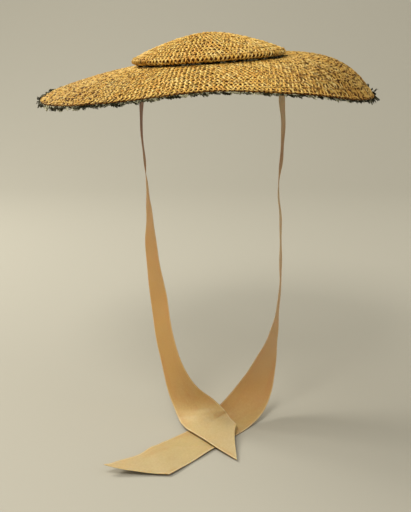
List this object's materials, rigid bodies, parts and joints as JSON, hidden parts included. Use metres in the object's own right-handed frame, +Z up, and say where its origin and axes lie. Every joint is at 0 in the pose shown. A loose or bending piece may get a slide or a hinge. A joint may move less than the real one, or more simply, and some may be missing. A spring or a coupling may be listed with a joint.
{
  "type": "bergere hat",
  "caption": "Wide, shallow straw hat with a low overhanging crown, frayed silk edgings and two long silk ribbon ties that cross below it.",
  "frame": {"origin": "middle of the head opening, level with the underside of the brim", "axes": "+Z up as worn, +X to the wearer's left, -Y to the front, where the ribbons cross"},
  "size_m": [0.378, 0.3966, 0.4298],
  "materials": {
    "straw": "golden plaited straw, sewn in rows, with small dark gaps",
    "frayed_silk": "dark green-black silk, frayed to loose threads",
    "silk_ribbon": "tan silk ribbon with a soft sheen and pale selvages"
  },
  "bodies": {
    "root": {"crown": "straw", "brim": "straw", "crown_band": "frayed_silk", "brim_edging": "frayed_silk", "ribbon_right": "silk_ribbon", "ribbon_left": "silk_ribbon"}
  },
  "joints": []
}
